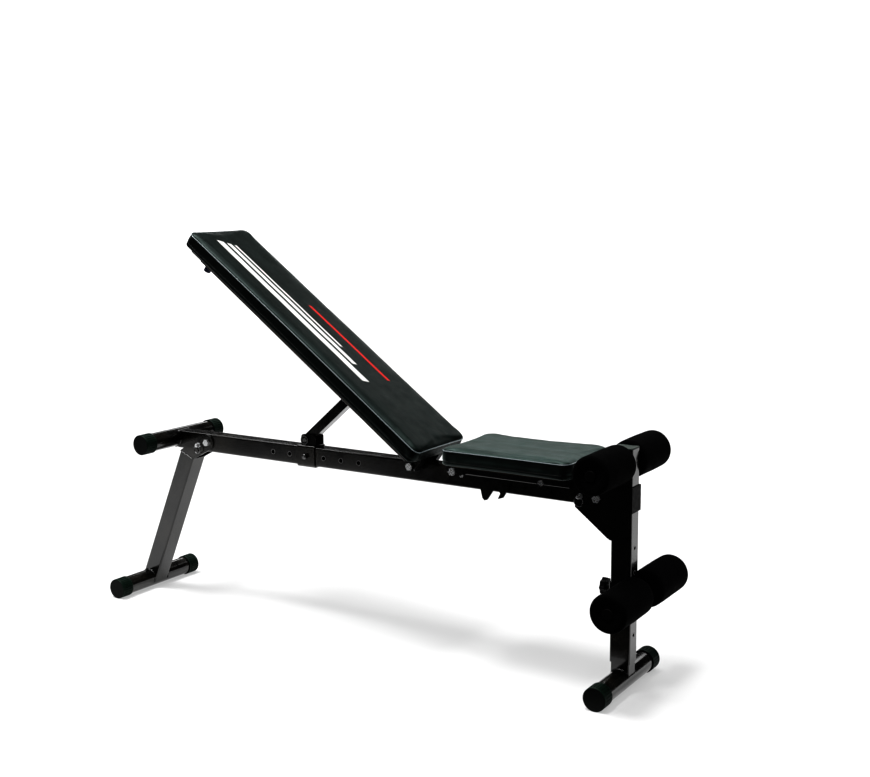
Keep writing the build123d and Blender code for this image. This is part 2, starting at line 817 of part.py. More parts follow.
collar_inner_y = rail_width / 2 + collar_side_gap
collar_outer_y = collar_inner_y + collar_wall
collar_top = rail_top + collar_top_gap + collar_wall
with BuildPart() as slider_collar:
    with BuildSketch(Plane.YZ.offset(slider_x - collar_half)):
        with Locations((0, rail_mid_z)):
            inner_height = rail_height + 2 * collar_top_gap
            RectangleRounded(2 * collar_outer_y, inner_height + 2 * collar_wall, 6.0)
            RectangleRounded(2 * collar_inner_y, inner_height, 4.0, mode=Mode.SUBTRACT)
    extrude(amount=2 * collar_half)
    with BuildSketch(Plane.XZ):
        with Locations((slider_x, rail_mid_z)):
            Circle(pin_r + running_gap)
    extrude(amount=collar_outer_y + 5.0, mode=Mode.SUBTRACT)
save(slider_collar, "slider_collar")

lug_rear_x = strut_foot[0] - 12.0
lug_front_x = strut_foot[0] + 33.0
lug_top = strut_foot[1] + 15.0
with BuildPart() as slider_lugs:
    with BuildSketch(Plane.XZ.offset(lug_inner)):
        with BuildLine():
            FilletPolyline(
                (lug_front_x, collar_top),
                (lug_front_x, lug_top),
                (lug_rear_x, lug_top),
                (lug_rear_x, collar_top),
                radius=8.0,
            )
            Line((lug_rear_x, collar_top), (lug_front_x, collar_top))
        make_face()
    extrude(amount=lug_outer - lug_inner)
    cross_hole(strut_foot, bolt_r + running_gap)
    mirror(about=Plane.XZ)
save(slider_lugs, "slider_lugs")

grip_ring_outer = 12.0
grip_ring_inner = 9.2
grip_spoke_width = 3.0
foot_pin_seat = lug_outer + side_gap
with BuildPart() as strut_foot_pin:
    with BuildSketch(Plane.XZ.offset(-lug_outer - 4.0)):
        with Locations(strut_foot):
            Circle(bolt_r)
    extrude(amount=lug_outer + 4.0 + foot_pin_seat)
    with BuildSketch(Plane.XZ.offset(foot_pin_seat)):
        with Locations(strut_foot):
            Circle(grip_ring_outer)
            Circle(grip_ring_inner, mode=Mode.SUBTRACT)
            Circle(bolt_r + 1.5)
            Rectangle(2 * grip_ring_inner + 1.0, grip_spoke_width)
    extrude(amount=2.8)
save(strut_foot_pin, "strut_foot_pin")

pull_head_r = 7.0
with BuildPart() as slider_lock_pin:
    with BuildSketch(Plane.XZ.offset(rail_width / 2 + 0.3)):
        with Locations((slider_x, rail_mid_z)):
            Circle(pin_r)
    extrude(amount=collar_outer_y + side_gap - rail_width / 2 - 0.3)
    with BuildSketch(Plane.XZ.offset(collar_outer_y + side_gap)):
        with Locations((slider_x, rail_mid_z)):
            Circle(pull_head_r)
    extrude(amount=9.0)
    fillet(slider_lock_pin.faces().sort_by(Axis.Y)[0].edges(), 3.0)
save(slider_lock_pin, "slider_lock_pin")

# ---------------------------------------------------------------- seat

seat_length = seat_front_x - seat_rear_x
seat_mid_x = (seat_front_x + seat_rear_x) / 2
with BuildPart() as seat_pad:
    with BuildSketch(Plane.XY.offset(seat_pad_bottom)) as outline:
        with Locations((seat_mid_x, 0)):
            Rectangle(seat_length, pad_width)
        fillet(outline.vertices().group_by(Axis.X)[-1], seat_front_corner)
        fillet(outline.vertices().group_by(Axis.X)[0], pad_corner)
    extrude(amount=seat_top - seat_pad_bottom)
    fillet(seat_pad.faces().sort_by(Axis.Z)[-1].edges(), pad_edge)
    with BuildSketch(Plane.XY.offset(seat_pad_bottom)):
        with Locations((seat_mid_x, 0)):
            Rectangle(seat_length - 2 * board_end_inset, 2 * board_half)
    extrude(amount=seat_frame_top + board_thickness + 0.3 - seat_pad_bottom, mode=Mode.SUBTRACT)
save(seat_pad, "seat_pad")

seat_crossbar_xs = (330.0, 560.0)
seat_screw_places = [(x, side * 16.0) for x in seat_crossbar_xs for side in (-1, 1)]
with BuildPart() as seat_board:
    with BuildSketch(Plane.XY.offset(seat_frame_top)):
        with Locations((seat_mid_x, 0)):
            board_gap = 2 * board_end_inset + 0.6
            RectangleRounded(seat_length - board_gap, 2 * board_half - 0.6, 8.0)
    extrude(amount=board_thickness)
    with BuildSketch(Plane.XY.offset(seat_frame_top)):
        with Locations(*seat_screw_places):
            Circle(screw_r + 0.02)
    extrude(amount=board_thickness - 2.0, mode=Mode.SUBTRACT)
save(seat_board, "seat_board")

seat_rail_z = seat_frame_top - seat_rail_depth / 2
for side, name in ((-1, "near"), (1, "far")):
    with BuildPart() as side_rail:
        with BuildSketch(Plane.YZ.offset(seat_rail_rear_x)):
            with Locations((side * side_rail_mid, seat_rail_z)):
                tube_section(side_rail_width, seat_rail_depth, side_rail_corner, side_rail_wall)
        extrude(amount=seat_rail_front_x - seat_rail_rear_x)
        hinge_ears(side, seat_hinge, (seat_hinge[0] + hinge_ear_reach, seat_rail_z))
        cross_hole(seat_hinge, bolt_r + running_gap)
        if side < 0:
            cross_hole(ladder_bolt, ladder_bolt_r + 0.02)
    save(side_rail, f"seat_rail_{name}")

seat_end_planes = []
for side in (-1, 1):
    y = side * side_rail_mid
    seat_end_planes.append(Plane(origin=(seat_rail_rear_x, y, seat_rail_z), x_dir=(0, 1, 0), z_dir=(-1, 0, 0)))
    seat_end_planes.append(Plane(origin=(seat_rail_front_x, y, seat_rail_z), x_dir=(0, 1, 0), z_dir=(1, 0, 0)))
rail_plugs(seat_end_planes, seat_rail_depth, "seat_rail_plugs")

with BuildPart() as seat_crossbars:
    for x in seat_crossbar_xs:
        with BuildSketch(Plane.XZ):
            with Locations((x, seat_frame_top - crossbar_depth / 2)):
                Rectangle(crossbar_width, crossbar_depth)
                Rectangle(crossbar_width - 4.0, crossbar_depth - 4.0, mode=Mode.SUBTRACT)
        extrude(amount=side_rail_inner, both=True)
    with BuildSketch(Plane.XY.offset(seat_frame_top)):
        with Locations(*seat_screw_places):
            Circle(screw_r + 0.02)
    extrude(amount=-crossbar_depth, mode=Mode.SUBTRACT)
save(seat_crossbars, "seat_crossbars")

with BuildPart() as seat_screws:
    with BuildSketch(Plane.XY.offset(seat_frame_top - crossbar_depth)):
        with Locations(*seat_screw_places):
            Circle(screw_r)
    extrude(amount=crossbar_depth + board_thickness - 3.0)
    with BuildSketch(Plane.XY.offset(seat_frame_top - crossbar_depth)):
        with Locations(*seat_screw_places):
            Circle(screw_head_r)
    extrude(amount=-screw_head_height)
save(seat_screws, "seat_screws")

# ---------------------------------------------------------------- seat ladder

ladder_outline = (
    (352.0, 448.0),
    (351.0, 435.0),
    (357.0, 409.0),
    (363.0, 403.0),
    (371.0, 406.0),
    (386.0, 428.0),
    (396.0 - ladder_notch_r, 430.5),
    (396.0 + ladder_notch_r, 430.5),
    (406.0, 425.0),
    (399.0, 411.0),
    (414.0, 416.0),
    (421.0, 427.0),
    (436.0 - ladder_notch_r, 445.5),
    (436.0 + ladder_notch_r, 445.5),
    (449.0, 438.5),
    (461.0, 436.0),
    (476.0, 460.0),
    (527.0, 463.5),
    (527.0, 479.5),
    (440.0, 467.0),
)
with BuildPart() as seat_ladder:
    with BuildSketch(Plane.XZ.offset(ladder_near)):
        with BuildLine():
            Polyline(*ladder_outline, close=True)
        make_face()
        with Locations(ladder_bolt):
            Circle(8.0)
        with Locations(*ladder_notches):
            Circle(ladder_notch_r, mode=Mode.SUBTRACT)
        with Locations(ladder_bolt):
            Circle(ladder_bolt_r + running_gap, mode=Mode.SUBTRACT)
    extrude(amount=ladder_thickness)
save(seat_ladder, "seat_ladder")

# the bolt's head is outside the near side rail, its nut inside, beside the main rail
with BuildPart() as ladder_pivot_bolt:
    hex_bolt(ladder_bolt, side_rail_outer + 0.1, -21.2, radius=ladder_bolt_r, flats_r=6.5)
save(ladder_pivot_bolt, "ladder_pivot_bolt")
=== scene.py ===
import json
import math

import bmesh
import bpy
from mathutils import Matrix, Vector, noise
from mathutils.bvhtree import BVHTree


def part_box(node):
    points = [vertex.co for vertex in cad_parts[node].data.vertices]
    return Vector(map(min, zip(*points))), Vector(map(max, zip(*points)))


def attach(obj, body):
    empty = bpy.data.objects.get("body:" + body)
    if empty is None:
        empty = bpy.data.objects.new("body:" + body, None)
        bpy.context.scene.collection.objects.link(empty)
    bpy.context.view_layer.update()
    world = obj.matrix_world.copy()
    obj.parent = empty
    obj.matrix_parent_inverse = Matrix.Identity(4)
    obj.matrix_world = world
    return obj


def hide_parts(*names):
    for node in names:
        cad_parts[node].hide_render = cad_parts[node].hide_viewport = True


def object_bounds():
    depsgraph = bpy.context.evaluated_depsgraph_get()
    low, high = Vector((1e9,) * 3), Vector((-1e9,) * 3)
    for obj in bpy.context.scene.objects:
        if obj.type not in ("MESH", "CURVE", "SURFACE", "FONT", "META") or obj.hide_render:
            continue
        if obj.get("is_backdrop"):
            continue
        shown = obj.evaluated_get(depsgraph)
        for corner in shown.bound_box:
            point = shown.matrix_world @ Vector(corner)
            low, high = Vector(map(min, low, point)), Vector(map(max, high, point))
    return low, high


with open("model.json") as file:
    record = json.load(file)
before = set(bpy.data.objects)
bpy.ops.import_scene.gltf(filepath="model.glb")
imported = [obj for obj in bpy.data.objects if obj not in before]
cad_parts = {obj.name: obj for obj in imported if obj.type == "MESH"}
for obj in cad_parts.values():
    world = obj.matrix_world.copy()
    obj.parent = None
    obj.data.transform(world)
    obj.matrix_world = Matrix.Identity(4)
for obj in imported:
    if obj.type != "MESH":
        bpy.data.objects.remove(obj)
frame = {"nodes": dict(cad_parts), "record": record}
cad_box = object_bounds()

scene = bpy.context.scene

# ---------------------------------------------------------------- camera

CAMERA_PLACE = Vector((1.82973, -2.49773, 1.13006))
CAMERA_YAW = 0.5753
CAMERA_PITCH = -0.1577
CAMERA_ROLL = -0.0100
CAMERA_LENS = 51.49
SENSOR_WIDTH = 36.0


def make_camera():
    data = bpy.data.cameras.new("camera")
    data.sensor_fit = "HORIZONTAL"
    data.sensor_width = SENSOR_WIDTH
    data.lens = CAMERA_LENS
    forward = Vector((
        -math.sin(CAMERA_YAW) * math.cos(CAMERA_PITCH),
        math.cos(CAMERA_YAW) * math.cos(CAMERA_PITCH),
        math.sin(CAMERA_PITCH),
    ))
    right = forward.cross(Vector((0, 0, 1))).normalized()
    up = right.cross(forward)
    right_rolled = math.cos(CAMERA_ROLL) * right + math.sin(CAMERA_ROLL) * up
    up_rolled = -math.sin(CAMERA_ROLL) * right + math.cos(CAMERA_ROLL) * up
    turn = Matrix((right_rolled, up_rolled, -forward)).transposed()
    camera = bpy.data.objects.new("camera", data)
    camera.matrix_world = Matrix.Translation(CAMERA_PLACE) @ turn.to_4x4()
    scene.collection.objects.link(camera)
    scene.camera = camera


make_camera()

# ---------------------------------------------------------------- materials

# Sockets of a Mix node that mixes colours.
MIX_FACTOR, MIX_A, MIX_B, MIX_RESULT = 0, 6, 7, 2


class Nodes:
    """Small helper that builds one node tree from left to right."""

    def __init__(self, name):
        self.material = bpy.data.materials.new(name)
        self.material.use_nodes = True
        self.tree = self.material.node_tree
        self.tree.nodes.clear()
        self.out = self.add("ShaderNodeOutputMaterial")
        self.shader = self.add("ShaderNodeBsdfPrincipled")
        self.link(self.shader.outputs[0], self.out.inputs[0])
        where = self.add("ShaderNodeTexCoord")
        self.place = where.outputs["Object"]
        self.normal = where.outputs["Normal"]

    def add(self, kind, **values):
        node = self.tree.nodes.new(kind)
        for key, value in values.items():
            setattr(node, key, value)
        return node

    def link(self, source, target):
        self.tree.links.new(source, target)

    def stretched(self, scale):
        node = self.add("ShaderNodeMapping")
        node.inputs["Scale"].default_value = scale
        self.link(self.place, node.inputs["Vector"])
        return node.outputs[0]

    def noise(self, scale, detail=3.0, rough=0.55, stretch=None):
        node = self.add("ShaderNodeTexNoise")
        node.inputs["Scale"].default_value = scale
        node.inputs["Detail"].default_value = detail
        node.inputs["Roughness"].default_value = rough
        self.link(self.stretched(stretch) if stretch else self.place, node.inputs["Vector"])
        return node.outputs["Fac"]

    def cells(self, scale, feature="F1"):
        node = self.add("ShaderNodeTexVoronoi", feature=feature)
        node.inputs["Scale"].default_value = scale
        self.link(self.place, node.inputs["Vector"])
        return node.outputs["Distance"]

    def span(self, value, low, high, from_low=0.3, from_high=0.7):
        """Spreads a value over low to high. The middle of a noise lies within the default range."""
        node = self.add("ShaderNodeMapRange")
        node.inputs["From Min"].default_value = from_low
        node.inputs["From Max"].default_value = from_high
        node.inputs["To Min"].default_value = low
        node.inputs["To Max"].default_value = high
        self.link(value, node.inputs["Value"])
        return node.outputs["Result"]

    def fill(self, slot, value):
        """Gives a socket a number, a colour or a link."""
        if isinstance(value, (int, float)):
            slot.default_value = value
        elif isinstance(value, tuple):
            slot.default_value = (*value, 1.0)
        else:
            self.link(value, slot)

    def math(self, kind, a, b):
        node = self.add("ShaderNodeMath", operation=kind)
        self.fill(node.inputs[0], a)
        self.fill(node.inputs[1], b)
        return node.outputs[0]

    def mix(self, factor, a, b):
        node = self.add("ShaderNodeMix", data_type="RGBA")
        self.fill(node.inputs[MIX_FACTOR], factor)
        self.fill(node.inputs[MIX_A], a)
        self.fill(node.inputs[MIX_B], b)
        return node.outputs[MIX_RESULT]

    def bump(self, height, strength, distance, under=None):
        node = self.add("ShaderNodeBump")
        node.inputs["Strength"].default_value = strength
        node.inputs["Distance"].default_value = distance
        self.link(height, node.inputs["Height"])
        if under is not None:
            self.link(under, node.inputs["Normal"])
        return node.outputs["Normal"]

    def facing(self, direction, low, high):
        """0 to 1 as the surface at rest turns towards a fixed direction of the object."""
        node = self.add("ShaderNodeVectorMath", operation="DOT_PRODUCT")
        node.inputs[1].default_value = direction
        self.link(self.normal, node.inputs[0])
        return self.span(node.outputs["Value"], 0.0, 1.0, low, high)

    def put(self, name, value):
        self.fill(self.shader.inputs[name], value)


def paint_material(name="black_powder_coat", wear=1.0):
    """Near-black semi-gloss powder coat with a faint warm mottling."""
    n = Nodes(name)
    patches = n.span(n.noise(9.0, 4.0, 0.6), 0.0, 1.0, 0.42, 0.66)
    specks = n.span(n.noise(160.0, 2.0, 0.7), 0.45, 1.0, 0.45, 0.75)
    worn = (0.032 * wear, 0.029 * wear, 0.023 * wear)
    n.put("Base Color", n.mix(n.math("MULTIPLY", patches, specks), (0.0022, 0.0022, 0.0020), worn))
    n.put("Roughness", n.span(n.noise(34.0, 3.0), 0.14, 0.25))
    n.put("Specular IOR Level", 0.5)
    n.put("Coat Weight", 0.6)
    n.put("Coat Roughness", 0.06)
    peel = n.noise(620.0, 2.0)
    n.put("Normal", n.bump(peel, 0.12, 0.0006))
    return n.material


def vinyl_material(name, top, painted_top_light, sheen, specular, stripes=None):
    """Black-green upholstery vinyl with a fine grain, soft streaks and a sheen.

    top is the direction of the face that is painted lighter at rest, as painted light from above, with soft
    random streaks; the other faces get a near-black painted shade. The number after top scales this painted
    light, and stripes adds a print.
    """
    n = Nodes(name)
    streaks = n.noise(5.0, 6.0, 0.62, stretch=(1.0, 9.0, 1.0))
    thin = (0.0030 * painted_top_light, 0.0056 * painted_top_light, 0.0046 * painted_top_light)
    thick = (0.0100 * painted_top_light, 0.0160 * painted_top_light, 0.0146 * painted_top_light)
    painted_lit_top = n.mix(n.span(streaks, 0.0, 1.0, 0.4, 0.66), thin, thick)
    # Painted light and shade: faces turned towards top take the lighter streaked colour, the sides a
    # near-black painted shade.
    base = n.mix(n.facing(top, 0.45, 0.90), (0.0004, 0.0010, 0.0007), painted_lit_top)
    if stripes is not None:
        mask, colour = stripes(n)
        base = n.mix(mask, base, colour)
    n.put("Base Color", base)
    n.put("Roughness", n.span(n.noise(24.0, 4.0, 0.65), 0.38, 0.54))
    n.put("Specular IOR Level", specular)
    n.put("Specular Tint", (0.72, 1.0, 0.93))
    n.put("Sheen Weight", sheen)
    n.put("Sheen Roughness", 0.35)
    n.put("Sheen Tint", (0.84, 1.0, 0.96))
    grain = n.cells(850.0, "DISTANCE_TO_EDGE")
    creases = n.noise(48.0, 4.0, 0.6)
    n.put("Normal", n.bump(grain, 0.35, 0.0004, under=n.bump(creases, 0.25, 0.0012)))
    return n.material


def foam_material():
    """Matt closed-cell foam skin."""
    n = Nodes("black_foam")
    n.put("Base Color", n.mix(n.noise(60.0), (0.0008, 0.0008, 0.0009), (0.0022, 0.0022, 0.0023)))
    n.put("Roughness", n.span(n.noise(40.0), 0.88, 0.98))
    n.put("Specular IOR Level", 0.06)
    n.put("Normal", n.bump(n.cells(1300.0), 0.4, 0.0004))
    return n.material


def rubber_material(name, dark, light, rough, grain, specular=0.2, coat=0.0):
    """Moulded rubber, plastic or another smooth material, between two shades."""
    n = Nodes(name)
    n.put("Base Color", n.mix(n.noise(45.0), dark, light))
    n.put("Roughness", n.span(n.noise(120.0), *rough))
    n.put("Specular IOR Level", specular)
    n.put("Coat Weight", coat)
    n.put("Coat Roughness", 0.15)
    n.put("Normal", n.bump(n.noise(grain, 2.0), 0.15, 0.0005))
    return n.material


def cap_material():
    """Black-green moulded rubber, paler round its ribbed side than on its end, as a painted highlight on the
    ribs.
    """
    n = Nodes("cap_rubber")
    ends = [n.facing((0.0, side, 0.0), 0.80, 0.97) for side in (1.0, -1.0)]
    # Painted highlight: the ribbed side takes a paler green than the end faces.
    rib_highlight = n.mix(n.noise(60.0), (0.0030, 0.0100, 0.0062), (0.0070, 0.0190, 0.0125))
    n.put("Base Color", n.mix(n.math("MAXIMUM", *ends), rib_highlight, (0.0005, 0.0018, 0.0011)))
    n.put("Roughness", n.span(n.noise(120.0), 0.46, 0.60))
    n.put("Specular IOR Level", 0.16)
    n.put("Normal", n.bump(n.noise(900.0, 2.0), 0.15, 0.0005))
    return n.material


def zinc_material(name="zinc_plate", black_beyond=None):
    """Bright zinc plate with a little dulling, or black where X is past black_beyond."""
    n = Nodes(name)
    cloud = n.noise(220.0, 3.0)
    plate = n.mix(n.span(cloud, 0.0, 1.0), (0.78, 0.79, 0.80), (0.93, 0.94, 0.94))
    if black_beyond is not None:
        split = n.add("ShaderNodeSeparateXYZ")
        n.link(n.place, split.inputs[0])
        beyond = n.math("GREATER_THAN", split.outputs["X"], black_beyond)
        plate = n.mix(beyond, plate, (0.05, 0.05, 0.05))
    n.put("Base Color", plate)
    n.put("Metallic", 0.9)
    n.put("Roughness", n.span(n.noise(300.0, 2.0), 0.20, 0.34))
    n.put("Normal", n.bump(n.noise(90.0, 2.0, stretch=(1.0, 1.0, 30.0)), 0.08, 0.0005))
    return n.material


def dark_steel_material():
    """Blackened steel wire and turned pins."""
    n = Nodes("dark_steel")
    cloud = n.span(n.noise(200.0), 0.0, 1.0)
    n.put("Base Color", n.mix(cloud, (0.10, 0.10, 0.10), (0.26, 0.26, 0.26)))
    n.put("Metallic", 1.0)
    n.put("Roughness", n.span(n.noise(260.0, 2.0), 0.16, 0.30))
    return n.material


def wood_material():
    """Dark-stained plywood."""
    n = Nodes("stained_plywood")
    figure = n.noise(14.0, 5.0, 0.6, stretch=(1.0, 9.0, 9.0))
    stain = n.span(figure, 0.0, 1.0)
    n.put("Base Color", n.mix(stain, (0.035, 0.025, 0.017), (0.085, 0.062, 0.04)))
    n.put("Roughness", n.span(n.noise(90.0), 0.6, 0.8))
    n.put("Normal", n.bump(figure, 0.2, 0.001))
    return n.material


PAINT = paint_material()
WELD = paint_material("painted_weld", wear=0.8)
# The seat's copy of the vinyl takes a much lighter painted top than the backrest's: painted light on its
# upward face.
VINYL = vinyl_material("seat_vinyl", (0.0, 0.0, 1.0), painted_top_light=3.6, sheen=0.35, specular=0.35)
FOAM = foam_material()
CAP_RUBBER = cap_material()
BLACK_PLASTIC = rubber_material(
    "black_plastic", (0.0020, 0.0020, 0.0023), (0.0050, 0.0050, 0.0055), (0.42, 0.6), 500.0,
)
GREY_PLASTIC = rubber_material(
    "grey_green_plastic", (0.030, 0.040, 0.035), (0.055, 0.070, 0.062), (0.4, 0.55), 500.0,
)
# The piping's pale grey-blue is a painted highlight along the cushions' top edges.
PIPING_HIGHLIGHT = rubber_material(
    "piping_painted_highlight", (0.150, 0.185, 0.195), (0.260, 0.310, 0.325), (0.22, 0.34), 700.0, 0.5, 0.8,
)
SEAM = rubber_material(
    "seam_vinyl", (0.0010, 0.0020, 0.0016), (0.0030, 0.0050, 0.0044), (0.35, 0.5), 700.0, 0.3,
)
THREAD = rubber_material(
    "thread", (0.006, 0.009, 0.008), (0.016, 0.021, 0.019), (0.55, 0.7), 700.0,
)
MATT_BLACK = rubber_material(
    "matt_black", (0.0008, 0.0008, 0.0007), (0.0024, 0.0022, 0.0018), (0.5, 0.65), 500.0, 0.15,
)
BLUE_PLASTIC = rubber_material(
    "blue_plastic", (0.0040, 0.0060, 0.0240), (0.0110, 0.0150, 0.0520), (0.4, 0.55), 500.0,
)
ZINC = zinc_material()
BLACK_BOLTS_BEYOND_X = 0.50     # the side bolts in front of this are black
SIDE_BOLT_ZINC = zinc_material("side_bolt_zinc", BLACK_BOLTS_BEYOND_X)
DARK_STEEL = dark_steel_material()
# The pale grey of the rings round the drilled holes is a painted highlight on their edges.
HOLE_EDGE_HIGHLIGHT = rubber_material(
    "hole_edge_painted_highlight", (0.20, 0.20, 0.20), (0.36, 0.36, 0.36), (0.3, 0.45), 700.0, 0.5,
)
WOOD = wood_material()

# The look of each material slot, and of the single nodes that differ from their slot's.
SLOT_MATERIALS = {
    "frame_steel": PAINT,
    "vinyl": VINYL,
    "foam": FOAM,
    "cap_rubber": CAP_RUBBER,
    "black_plastic": BLACK_PLASTIC,
    "grey_plastic": GREY_PLASTIC,
    "zinc": ZINC,
    "board": WOOD,
}

node_slot = {part["node"]: part["material_slot"] for part in frame["record"]["subparts"]}
OWN_MATERIALS = {
    "front_pin_ring": DARK_STEEL,
    "rear_pin_ring": DARK_STEEL,
    "strut_foot_pin": DARK_STEEL,
    "slider_lock_pin": DARK_STEEL,
    "front_bracket": MATT_BLACK,
    "slider_lugs": MATT_BLACK,
    "ladder_peg": MATT_BLACK,
    "upper_bar_plugs": MATT_BLACK,
    "lower_bar_plugs": MATT_BLACK,
    "backrest_bumpers": BLUE_PLASTIC,
    "rail_side_bolts": SIDE_BOLT_ZINC,
}
for node_name, node_object in frame["nodes"].items():
    material = OWN_MATERIALS.get(node_name) or SLOT_MATERIALS[node_slot[node_name]]
    node_object.data.materials.clear()
    node_object.data.materials.append(material)

# ---------------------------------------------------------------- mesh helpers


def mesh_object(name, vertices, faces, material, smooth=True):
    """New object from plain lists, with its normals made to face outwards."""
    mesh = bpy.data.meshes.new(name)
    mesh.from_pydata([tuple(v) for v in vertices], [], faces)
    work = bmesh.new()
    work.from_mesh(mesh)
    bmesh.ops.recalc_face_normals(work, faces=work.faces)
    work.to_mesh(mesh)
    work.free()
    if smooth:
        mesh.polygons.foreach_set("use_smooth", [True] * len(mesh.polygons))
    mesh.materials.append(material)
    item = bpy.data.objects.new(name, mesh)
    scene.collection.objects.link(item)
    return item


def sweep(points, radius, closed=True, sides=10):
    """Vertices and faces of a tube along points. radius is a number, or a function of the point's index."""
    count = len(points)
    vertices, faces = [], []
    side = None
    for i, point in enumerate(points):
        before = points[(i - 1) % count] if closed or i else point
        after = points[(i + 1) % count] if closed or i < count - 1 else point
        along = (after - before).normalized()
        if side is None:
            side = along.orthogonal().normalized()
        side = (side - along * side.dot(along)).normalized()
        over = along.cross(side)
        r = radius(i) if callable(radius) else radius
        for k in range(sides):
            angle = 2 * math.pi * k / sides
            vertices.append(point + side * (math.cos(angle) * r) + over * (math.sin(angle) * r))
    rings = count if closed else count - 1
    for i in range(rings):
        j = (i + 1) % count
        for k in range(sides):
            m = (k + 1) % sides
            faces.append((i * sides + k, i * sides + m, j * sides + m, j * sides + k))
    if not closed:
        faces.append(tuple(range(sides)))
        faces.append(tuple((count - 1) * sides + k for k in range(sides)))
    return vertices, faces


def revolve(profile, steps, to_world):
    """Vertices and faces of a closed ring shape. profile is a closed loop of (radius, along)."""
    vertices, faces = [], []
    count = len(profile)
    for s in range(steps):
        angle = 2 * math.pi * s / steps
        for radius, along in profile:
            vertices.append(to_world(radius * math.cos(angle), radius * math.sin(angle), along))
    for s in range(steps):
        t = (s + 1) % steps
        for k in range(count):
            m = (k + 1) % count
            faces.append((s * count + k, s * count + m, t * count + m, t * count + k))
    return vertices, faces


# ---------------------------------------------------------------- cushions

BACK_INCLINE = math.radians(36.0)
BACK_LOW = Vector((0.234, 0.0, 0.518))      # middle of the backrest's low top edge
BACK_LENGTH = 0.871
PAD_WIDTH = 0.228
PAD_THICK = 0.042
BACK_CORNERS = (0.024, 0.024)               # radii at the rear end and at the front end
SEAT_CORNERS = (0.024, 0.028)
BACK_LOW_ROUND = 0.018                      # radius under the backrest's low end

# A cushion starts bigger than its CAD pad, because its corners draw in.
COVER_GROWTH = 0.010
COVER_WIDEN = 0.002
COVER_LIFT = 0.0018
BACK_SHIFT = 0.0035
SEAT_SHIFT = 0.003

# The block that a cushion is blown up from: depth and inset of each ring, from the base to the top.
BLOCK_LAYERS = (
    (-PAD_THICK, 0.0050), (-PAD_THICK + 0.0025, 0.0024), (-0.030, 0.0016), (-0.018, 0.0014),
    (-0.0080, 0.0016), (-0.0034, 0.0026), (-0.0010, 0.0062),
)
ROUNDED_BELOW = -0.02       # a rounded low end starts below this depth
SIDE_DRAW = 0.0026          # how far the long sides are drawn in at their middle
END_DRAW = 0.0016
MIN_CORNER = 0.003

VOXEL = 0.0045
PRESSURE = 4.0
MOST_MOVE = 0.0030          # no point of the cloth ends further than this from its start
CLOTH_FRAMES = 20
HELD_FROM = -0.034          # the cloth is held below this depth, fully so HELD_BLEND further down
HELD_BLEND = 0.006

PIPING_DEPTH = 0.0038
PIPING_RADIUS = 0.0013
PIPING_RISE = 0.6           # the piping sits this much upwards of straight out
PIPING_LIFT = 0.0002        # how far the line's middle stands out of the skin
STITCH_LIFT = 0.0001
SEAM_LIFT = -0.0002
STITCH_DEPTH = 0.0105
STITCH_LENGTH = 0.0042
STITCH_GAP = 0.0030
STITCH_RADIUS = 0.00045
SEAM_DEPTH = 0.031
SEAM_RADIUS = 0.0007
STITCH_SHAPE = ((0.0, 0.25), (0.2, 0.85), (0.5, 1.0), (0.8, 0.85), (1.0, 0.25))
RAY_START, RAY_REACH = 0.03, 0.08
# The grooves that the seams press in: depth, amount and half width.
GROOVES = ((SEAM_DEPTH, 0.0013, 0.0022), (STITCH_DEPTH, 0.0006, 0.0018))
# The hollows in the skin: scale along, scale across, seed and height.
HOLLOWS = ((7.0, 16.0, 3.1, 0.0007), (24.0, 30.0, 7.7, 0.00025))


def rounded_outline(length, width, corner, inset, arc_steps=10, run_step=0.012):
    """Closed list of (place, outward) round a rounded rectangle.

    corner holds its radii at the -u and +u ends.
    """
    half_u, half_v = length / 2 - inset, width / 2 - inset
    outline = []
    corners = ((1, 1, 0.0), (-1, 1, 90.0), (-1, -1, 180.0), (1, -1, 270.0))

    def arc_at(su, sv):
        r = max(corner[1 if su > 0 else 0] - inset, MIN_CORNER)
        return Vector((su * (half_u - r), sv * (half_v - r))), r

    for index, (su, sv, start) in enumerate(corners):
        centre, r = arc_at(su, sv)
        for k in range(arc_steps + 1):
            angle = math.radians(start + 90.0 * k / arc_steps)
            out = Vector((math.cos(angle), math.sin(angle)))
            outline.append((centre + out * r, out))
        after = corners[(index + 1) % 4]
        next_centre, next_r = arc_at(after[0], after[1])
        first, last = centre + out * r, next_centre + out * next_r
        steps = int((length if index % 2 == 0 else width) / run_step)
        for k in range(1, steps):
            outline.append((first.lerp(last, k / steps), out))
    return outline


def pulled(u, v, length, width):
    """A place moved inwards, because a cushion's sides are drawn in between its corners."""
    amount_v = SIDE_DRAW * (1 - (2 * u / length) ** 2)
    amount_u = END_DRAW * (1 - (2 * v / width) ** 2)
    return u * (1 - 2 * amount_u / length), v * (1 - 2 * amount_v / width)


def cushion_start(name, length, width, corner, low_end_round, material):
    """Closed block that the cushion is blown up from: w is 0 at the top and falls to -PAD_THICK."""
    vertices, faces = [], []
    for w, inset in BLOCK_LAYERS:
        ring = rounded_outline(length, width, corner, inset)
        size = len(ring)
        for place, _ in ring:
            u, v = pulled(place.x, place.y, length, width)
            depth = w
            from_end = length / 2 - place.x
            if w < ROUNDED_BELOW and from_end < low_end_round:
                fall = math.sqrt(max(0.0, low_end_round**2 - (low_end_round - from_end) ** 2))
                depth = max(w, -PAD_THICK + low_end_round - fall)
            vertices.append(Vector((u, v, depth)))
    last = (len(BLOCK_LAYERS) - 1) * size
    for low in range(0, last, size):
        for k in range(size):
            m = (k + 1) % size
            faces.append((low + k, low + m, low + size + m, low + size + k))
    faces.append(tuple(range(size)))
    faces.append(tuple(range(last, last + size)))
    return mesh_object(name, vertices, faces, material)


